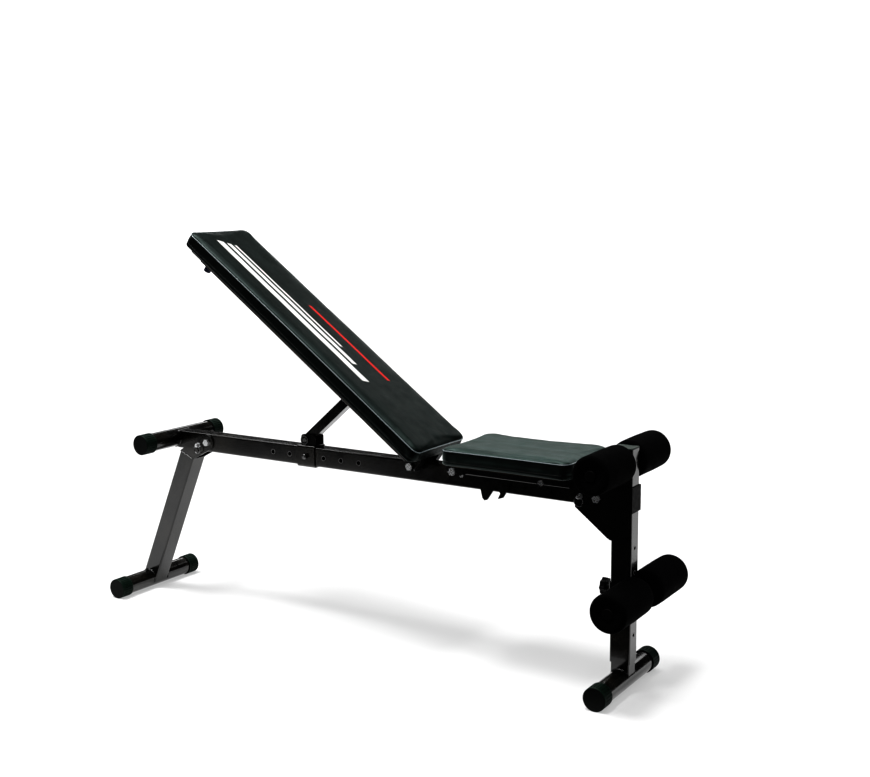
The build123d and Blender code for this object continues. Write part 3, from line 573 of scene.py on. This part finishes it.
def apply_modifiers(item):
    """Bakes an object's modifiers into its mesh."""
    graph = bpy.context.evaluated_depsgraph_get()
    mesh = bpy.data.meshes.new_from_object(item.evaluated_get(graph))
    item.modifiers.clear()
    old = item.data
    item.data = mesh
    bpy.data.meshes.remove(old)


def inflate(item):
    """Blows the cushion up as cloth that is held at its base."""
    remesh = item.modifiers.new("remesh", "REMESH")
    remesh.mode = "VOXEL"
    remesh.voxel_size = VOXEL
    apply_modifiers(item)
    rest = [v.co.copy() for v in item.data.vertices]
    held = item.vertex_groups.new(name="held")
    for v in item.data.vertices:
        weight = min(1.0, max(0.0, (HELD_FROM - v.co.z) / HELD_BLEND))
        if weight > 0:
            held.add([v.index], weight, "REPLACE")
    cloth = item.modifiers.new("cloth", "CLOTH")
    settings = cloth.settings
    settings.quality = 6
    settings.mass = 0.4
    settings.tension_stiffness = 25
    settings.compression_stiffness = 25
    settings.shear_stiffness = 12
    settings.bending_stiffness = 1.2
    settings.use_pressure = True
    settings.uniform_pressure_force = PRESSURE
    settings.vertex_group_mass = "held"
    settings.effector_weights.gravity = 0.0
    for step in range(1, CLOTH_FRAMES + 1):
        scene.frame_set(step)
    apply_modifiers(item)
    scene.frame_set(1)
    item.vertex_groups.clear()
    for v, start in zip(item.data.vertices, rest):
        move = v.co - start
        if move.length > MOST_MOVE:
            v.co = start + move * (MOST_MOVE / move.length)


def finish_cushion(item):
    """Smooths the blown-up cushion, then presses in its seams and a few soft hollows."""
    smooth = item.modifiers.new("smooth", "SMOOTH")
    smooth.factor = 0.5
    smooth.iterations = 3
    subdivide = item.modifiers.new("subdivide", "SUBSURF")
    subdivide.levels = 1
    apply_modifiers(item)
    item.data.polygons.foreach_set("use_smooth", [True] * len(item.data.polygons))
    normals = [n.vector.copy() for n in item.data.vertex_normals]
    for v, normal in zip(item.data.vertices, normals):
        w = v.co.z
        on_side = 1.0 - min(1.0, abs(normal.z) * 1.3)
        groove = 0.0
        for depth, amount, half_width in GROOVES:
            groove += amount * math.exp(-(((w + depth) / half_width) ** 2)) * on_side
        ripple = 0.0
        for along, across, seed, height in HOLLOWS:
            ripple += noise.noise(Vector((v.co.x * along, v.co.y * across, seed))) * height
        top = max(0.0, normal.z)
        v.co += normal * (ripple * (0.35 + 0.65 * top) - groove)


def snapped(tree, places, directions, lift):
    """Points on the cushion's skin under each place, moved out by lift."""
    found = []
    for place, out in zip(places, directions):
        hit = tree.ray_cast(place + out * RAY_START, -out, RAY_REACH)
        point = hit[0] if hit[0] is not None else tree.find_nearest(place)[0]
        found.append(point + out * lift)
    return found


def edge_line(tree, length, width, corner, depth, lift, out_rise=0.0):
    """A line round the cushion's side at one depth."""
    ring = rounded_outline(length, width, corner, 0.0, run_step=0.006)
    places, outs = [], []
    for place, out in ring:
        u, v = pulled(place.x, place.y, length, width)
        places.append(Vector((u, v, -depth)))
        outs.append(Vector((out.x, out.y, out_rise)).normalized())
    return snapped(tree, places, outs, lift)


def resample(points, step):
    """Evenly spaced points round a closed line, with the direction at each."""
    total = sum((points[(i + 1) % len(points)] - p).length for i, p in enumerate(points))
    count = int(total / step)
    spacing = total / count
    result, travelled, target, i = [], 0.0, 0.0, 0
    while len(result) < count and i < len(points):
        a, b = points[i], points[(i + 1) % len(points)]
        piece = (b - a).length
        while piece > 0 and target <= travelled + piece and len(result) < count:
            result.append((a.lerp(b, (target - travelled) / piece), (b - a).normalized()))
            target += spacing
        travelled += piece
        i += 1
    return result


def stitches(name, line, length, gap, radius):
    """A run of raised stitches along a closed line."""
    vertices, faces = [], []
    for middle, along in resample(line, length + gap):
        points = [middle + along * (length * (share - 0.5)) for share, _ in STITCH_SHAPE]
        v, f = sweep(points, lambda i: radius * STITCH_SHAPE[i][1], closed=False, sides=6)
        start = len(vertices)
        vertices += v
        faces += [tuple(start + k for k in face) for face in f]
    return mesh_object(name, vertices, faces, THREAD)


def make_cushion(name, node, body, pad_length, corner, matrix, material, low_end_round=0.0):
    """A blown-up cushion with piping, a stitched line and a side seam, in place of a CAD pad."""
    length, width = pad_length + COVER_GROWTH, PAD_WIDTH + COVER_WIDEN
    item = cushion_start(name, length, width, corner, low_end_round, material)
    inflate(item)
    finish_cushion(item)
    skin = item.data
    tree = BVHTree.FromPolygons([v.co for v in skin.vertices], [p.vertices for p in skin.polygons])
    piping_line = edge_line(tree, length, width, corner, PIPING_DEPTH, PIPING_LIFT, PIPING_RISE)
    stitch_line = edge_line(tree, length, width, corner, STITCH_DEPTH, STITCH_LIFT)
    seam_line = edge_line(tree, length, width, corner, SEAM_DEPTH, SEAM_LIFT)
    trims = (
        mesh_object(name + "_piping", *sweep(piping_line, PIPING_RADIUS), PIPING_HIGHLIGHT),
        stitches(name + "_stitches", stitch_line, STITCH_LENGTH, STITCH_GAP, STITCH_RADIUS),
        mesh_object(name + "_side_seam", *sweep(seam_line, SEAM_RADIUS, sides=6), SEAM),
    )
    for thing in (item, *trims):
        thing.data.transform(matrix)
        thing.data.update()
        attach(thing, body)
    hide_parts(node)


seat_low, seat_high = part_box("seat_pad")
seat_length = seat_high.x - seat_low.x

back_u = Vector((math.cos(BACK_INCLINE), 0, -math.sin(BACK_INCLINE)))
back_w = Vector((math.sin(BACK_INCLINE), 0, math.cos(BACK_INCLINE)))
back_v = Vector((0, 1, 0))
back_centre = BACK_LOW - back_u * (BACK_LENGTH / 2 + BACK_SHIFT) + back_w * COVER_LIFT
back_matrix = Matrix.Translation(back_centre) @ Matrix((back_u, back_v, back_w)).transposed().to_4x4()
seat_middle = (seat_low.x + seat_high.x) / 2 - SEAT_SHIFT
seat_matrix = Matrix.Translation((seat_middle, 0, seat_high.z + COVER_LIFT))

# The printed bars: from and to across the backrest, then from and to along it from its low end.
WHITE_BARS = (
    ((-0.052, -0.034), (0.225, 0.800)),
    ((-0.026, -0.014), (0.300, 0.800)),
    ((-0.006, 0.000), (0.375, 0.800)),
)
RED_BAR = ((0.034, 0.042), (0.255, 0.560))
BAR_SLANT = 0.55
PRINT_DEPTH = 0.012


def print_stripes(n):
    """Plain racing stripes printed on the backrest: three white bars of falling length and a thin red one."""
    turn = n.add("ShaderNodeMapping", vector_type="TEXTURE")
    turn.inputs["Location"].default_value = BACK_LOW
    turn.inputs["Rotation"].default_value = (0, BACK_INCLINE, 0)
    n.link(n.place, turn.inputs["Vector"])
    split = n.add("ShaderNodeSeparateXYZ")
    n.link(turn.outputs[0], split.inputs[0])
    along = n.math("MULTIPLY", split.outputs["X"], -1.0)
    across = split.outputs["Y"]
    slanted = n.math("ADD", along, n.math("MULTIPLY", across, BAR_SLANT))

    def band(value, low, high):
        return n.math("MULTIPLY", n.math("GREATER_THAN", value, low), n.math("LESS_THAN", value, high))

    def bar(across_range, along_range):
        return n.math("MULTIPLY", band(across, *across_range), band(slanted, *along_range))

    red = bar(*RED_BAR)
    printed = red
    for white_bar in WHITE_BARS:
        printed = n.math("MAXIMUM", printed, bar(*white_bar))
    top = n.math("GREATER_THAN", split.outputs["Z"], -PRINT_DEPTH)
    colour = n.mix(red, (0.84, 0.84, 0.82), (0.62, 0.012, 0.008))
    return n.math("MULTIPLY", printed, top), colour


# The backrest's copy takes a darker painted top than the seat's: painted shade for its tilt away from the
# light above.
BACK_VINYL = vinyl_material(
    "backrest_vinyl", back_w, painted_top_light=0.6, sheen=0.06, specular=0.24, stripes=print_stripes,
)
make_cushion(
    "backrest_cushion", "backrest_pad", "backrest", BACK_LENGTH, BACK_CORNERS, back_matrix,
    BACK_VINYL, BACK_LOW_ROUND,
)
make_cushion("seat_cushion", "seat_pad", "seat", seat_length, SEAT_CORNERS, seat_matrix, VINYL)

# ---------------------------------------------------------------- foam rollers

ROLLER_ROUND = 0.008
ROLLER_SWELL = 0.0006
ROLLER_DENTS = 0.0006
END_SINK = 0.004            # how far a roller's end face sinks from its rim to the bar
BAR_RADIUS = 0.0127


def make_roller(node, body):
    """Soft foam sleeve: a slightly barrelled tube with rounded ends that sink towards the bar."""
    low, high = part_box(node)
    centre = (low + high) / 2
    radius = (high.x - low.x) / 2
    half = (high.y - low.y) / 2
    hole = BAR_RADIUS + 0.0002
    rim = []
    for k in range(9):
        angle = math.pi / 2 * k / 8
        rim.append((
            radius - ROLLER_ROUND + ROLLER_ROUND * math.sin(angle),
            -half + ROLLER_ROUND - ROLLER_ROUND * math.cos(angle),
        ))
    profile = [(hole, -half + END_SINK), *rim]
    steps = 18
    reach = half - ROLLER_ROUND
    for k in range(1, steps):
        along = -reach + 2 * reach * k / steps
        swell = ROLLER_SWELL * (1 - (along / half) ** 2)
        profile.append((radius + swell, along))
    profile += [(radius_here, -along) for radius_here, along in reversed(rim)]
    profile.append((hole, half - END_SINK))

    def to_world(a, b, along):
        return Vector((centre.x + a, centre.y + along, centre.z + b))

    item = mesh_object(node + "_foam", *revolve(profile, 72, to_world), FOAM)
    seed = centre.y * 40.0 + centre.z * 9.0
    for v in item.data.vertices:
        offset = Vector((v.co.x - centre.x, 0, v.co.z - centre.z))
        share = max(0.0, offset.length / radius - 0.4)
        place = Vector((v.co.x * 34.0, v.co.y * 30.0, v.co.z * 34.0 + seed))
        v.co += offset.normalized() * (noise.noise(place) * ROLLER_DENTS * share)
    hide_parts(node)
    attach(item, body)


for roller_node, roller_body in (
    ("upper_roller_near", "upper_roller_a"),
    ("upper_roller_far", "upper_roller_b"),
    ("lower_roller_near", "lower_roller_a"),
    ("lower_roller_far", "lower_roller_b"),
):
    make_roller(roller_node, roller_body)

# ---------------------------------------------------------------- weld beads

WELD_RADIUS = 0.0021
LEG_TOP_WELD_RADIUS = 0.0014
WELD_STEP = 0.0011
FOOT_RADIUS = 0.025
TUBE_WELD_RADIUS = 0.0255       # the weld's path round a foot tube or the crossbar
LEG_LEAN = 23.9
LEG_LENGTH = 0.4174
LEG_WELD_Y = 0.0253             # just outside the leg's sides
LEG_TOP_HALF = 0.0243           # half the side of the square weld at the leg's top
CROSSBAR_WELD_Y = 0.0204        # just outside the rail's sides
SIDES = (("near", -1), ("far", 1))


def weld(name, points, body, closed=False, radius=WELD_RADIUS):
    """Rippled bead of weld along a line."""
    dense = []
    runs = len(points) if closed else len(points) - 1
    for i in range(runs):
        a, b = points[i], points[(i + 1) % len(points)]
        steps = max(1, int((b - a).length / WELD_STEP))
        dense += [a.lerp(b, k / steps) for k in range(steps)]
    if not closed:
        dense.append(points[-1])

    def ripple(i):
        return radius * (1 + 0.16 * math.sin(i * 2.1) + 0.22 * noise.noise(dense[i] * 190.0))

    item = mesh_object(name, *sweep(dense, ripple, closed=closed, sides=8), WELD)
    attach(item, body)


def saddle_path(axis, half_x, half_y):
    """Closed path round an upright rectangular tube, where it stands on a round foot."""
    corners = [
        Vector((axis.x + sx * half_x, axis.y + sy * half_y, 0))
        for sx, sy in ((1, 1), (-1, 1), (-1, -1), (1, -1))
    ]
    path = []
    for i, a in enumerate(corners):
        b = corners[(i + 1) % 4]
        path += [a.lerp(b, k / 12) for k in range(12)]
    for place in path:
        place.z = axis.z + math.sqrt(max(0.0, FOOT_RADIUS**2 - (place.x - axis.x) ** 2))
    return path


def arc_path(axis, y, start, end, steps=24):
    """Arc round a tube in a side plane, in degrees from +X towards +Z."""
    points = []
    for k in range(steps + 1):
        angle = math.radians(start + (end - start) * k / steps)
        out = Vector((math.cos(angle), 0, math.sin(angle))) * TUBE_WELD_RADIUS
        points.append(Vector((axis.x + out.x, y, axis.z + out.z)))
    return points


def axis_of(node):
    low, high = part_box(node)
    return (low + high) / 2


stub_low, stub_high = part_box("front_foot_stub")
stub_half = (stub_high - stub_low) / 2
stub_path = saddle_path(axis_of("front_foot_tube"), stub_half.x, stub_half.y)
weld("weld_stub", stub_path, "front_leg", True)

rear_axis = axis_of("rear_foot_tube")
for side_name, side in SIDES:
    path = arc_path(rear_axis, side * LEG_WELD_Y, 2 - LEG_LEAN, 178 - LEG_LEAN)
    weld(f"weld_leg_{side_name}", path, "rear_leg")

bar_axis = axis_of("rear_crossbar")
for side_name, side in SIDES:
    path = arc_path(bar_axis, side * CROSSBAR_WELD_Y, -86, 60)
    weld(f"weld_crossbar_{side_name}", path, "frame")

lean = math.radians(LEG_LEAN)
leg_along = Vector((math.sin(lean), 0, math.cos(lean)))
leg_across = Vector((math.cos(lean), 0, -math.sin(lean)))
leg_top = rear_axis + leg_along * LEG_LENGTH
leg_top_path = [
    leg_top + leg_across * across * LEG_TOP_HALF + Vector((0, y * LEG_TOP_HALF, 0))
    for across, y in ((1, 1), (-1, 1), (-1, -1), (1, -1))
]
weld("weld_leg_top", leg_top_path, "rear_leg", True, LEG_TOP_WELD_RADIUS)

# ---------------------------------------------------------------- painted highlight round the edges of the holes


RIM_WIDTH = 0.0011
RIM_HEIGHT = 0.0002
RAIL_NEAR_Y = -0.020
RAIL_MIDDLE_Z = 0.451
STOP_HOLE_RADIUS = 0.0055
STOP_HOLE_FIRST_X = -0.290
STOP_HOLE_PITCH = 0.056
OPEN_STOP_HOLES = (0, 1, 3, 4, 5)       # the collar covers number 2
POST_FRONT_X = 0.738
POST_HOLE_RADIUS = 0.0040
POST_HOLE_HEIGHTS = (0.133, 0.280, 0.337)


def hole_rim(name, place, outward, radius, body):
    """Thin raised ring round a drilled hole, pale as a painted highlight on its edge."""
    side = outward.orthogonal().normalized()
    over = outward.cross(side)
    outer = radius + RIM_WIDTH
    profile = [(radius, -RIM_HEIGHT), (radius, RIM_HEIGHT), (outer, RIM_HEIGHT), (outer, -RIM_HEIGHT)]

    def to_world(a, b, along):
        return place + side * a + over * b + outward * along

    item = mesh_object(name, *revolve(profile, 32, to_world), HOLE_EDGE_HIGHLIGHT, smooth=False)
    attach(item, body)


for index, hole in enumerate(OPEN_STOP_HOLES):
    place = Vector((STOP_HOLE_FIRST_X + STOP_HOLE_PITCH * hole, RAIL_NEAR_Y, RAIL_MIDDLE_Z))
    hole_rim(f"stop_hole_rim_{index}", place, Vector((0, -1, 0)), STOP_HOLE_RADIUS, "frame")
for index, height in enumerate(POST_HOLE_HEIGHTS):
    place = Vector((POST_FRONT_X, 0, height))
    hole_rim(f"post_hole_rim_{index}", place, Vector((1, 0, 0)), POST_HOLE_RADIUS, "front_leg")

# ---------------------------------------------------------------- floor and light

FLOOR_LEFT, FLOOR_RIGHT, FLOOR_BACK = -5.6, 3.8, 7.5
FLOOR_COLUMNS, FLOOR_ROWS = 64, 24
# The floor's front edge runs from FRONT_REAR at SLANT_START to FRONT_NEAR at SLANT_END.
SLANT_START, SLANT_END = -1.0, 0.35
FRONT_REAR, FRONT_NEAR = -1.55, -0.21
FLOOR_GLOW = 0.33                       # lifts the ground to the washed-out white of a studio


def front_edge(x):
    """Y of the floor's front edge."""
    share = min(1.0, max(0.0, (x - SLANT_START) / (SLANT_END - SLANT_START)))
    return FRONT_REAR + (FRONT_NEAR - FRONT_REAR) * share


def make_floor():
    """Plain pale floor that the object stands on, with finer rows towards the front."""
    vertices, faces = [], []
    for c in range(FLOOR_COLUMNS + 1):
        x = FLOOR_LEFT + (FLOOR_RIGHT - FLOOR_LEFT) * c / FLOOR_COLUMNS
        front = front_edge(x)
        for r in range(FLOOR_ROWS + 1):
            vertices.append(Vector((x, front + (FLOOR_BACK - front) * (r / FLOOR_ROWS) ** 2, 0)))
    for c in range(FLOOR_COLUMNS):
        for r in range(FLOOR_ROWS):
            a = c * (FLOOR_ROWS + 1) + r
            b = a + FLOOR_ROWS + 1
            faces.append((a, b, b + 1, a + 1))
    n = Nodes("pale_floor")
    n.put("Base Color", n.mix(n.noise(3.0), (0.41, 0.41, 0.41), (0.43, 0.43, 0.43)))
    n.put("Roughness", n.span(n.noise(20.0), 0.94, 0.98))
    n.put("Specular IOR Level", 0.0)
    n.put("Emission Color", (1.0, 1.0, 1.0))
    n.put("Emission Strength", FLOOR_GLOW)
    mesh_object("floor", vertices, faces, n.material)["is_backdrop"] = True


make_floor()


def place_light(name, kind, energy, place, aim):
    """A light at place that looks along aim."""
    data = bpy.data.lights.new(name, kind)
    data.energy = energy
    light = bpy.data.objects.new(name, data)
    light.location = place
    light.rotation_euler = aim.to_track_quat("-Z", "Y").to_euler()
    scene.collection.objects.link(light)
    return light


def area_light(name, place, target, size, energy):
    aim = Vector(target) - Vector(place)
    light = place_light(name, "AREA", energy, place, aim)
    light.data.shape = "RECTANGLE"
    light.data.size, light.data.size_y = size
    light.visible_camera = False


def sun_light(name, aim, energy, spread):
    light = place_light(name, "SUN", energy, (0.0, 0.0, 0.0), Vector(aim))
    light.data.angle = math.radians(spread)


# Two suns from above: a broad one for even light, and a narrow one for the shadow on the floor.
sun_light("overhead", (0.10, 0.05, -1.0), 1.50, 75.0)
sun_light("shadow", (0.12, 0.17, -1.0), 1.85, 16.0)
# A thin light along the bench draws the highlight on the near top edges, and a panel behind it
# lights the top faces at a grazing angle.
area_light("edge_strip", (-1.6, -0.42, 2.2), (-1.6, -0.42, 0.0), (3.4, 0.14), 17.0)
area_light("back_panel", (-1.15, 3.0, 2.10), (-1.15, 0.0, 0.9), (4.7, 0.6), 17.0)

WHITE = (1.0, 1.0, 1.0, 1.0)
WORLD_SEEN = 1.05
WORLD_LIGHT = 0.02


def make_world():
    """White behind the object, and almost black for what it reflects."""
    world = bpy.data.worlds.new("studio")
    world.use_nodes = True
    tree = world.node_tree
    tree.nodes.clear()
    out = tree.nodes.new("ShaderNodeOutputWorld")
    path = tree.nodes.new("ShaderNodeLightPath")
    mix = tree.nodes.new("ShaderNodeMixShader")
    tree.links.new(path.outputs["Is Camera Ray"], mix.inputs[0])
    for slot, strength in ((mix.inputs[1], WORLD_LIGHT), (mix.inputs[2], WORLD_SEEN)):
        background = tree.nodes.new("ShaderNodeBackground")
        background.inputs["Color"].default_value = WHITE
        background.inputs["Strength"].default_value = strength
        tree.links.new(background.outputs[0], slot)
    tree.links.new(mix.outputs[0], out.inputs[0])
    scene.world = world


make_world()
scene.view_settings.view_transform = "Standard"
scene.view_settings.look = "High Contrast"

# ---------------------------------------------------------------- sizes

boxes = {"cad": cad_box, "visual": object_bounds()}
{name: [list(corner) for corner in box] for name, box in boxes.items()}
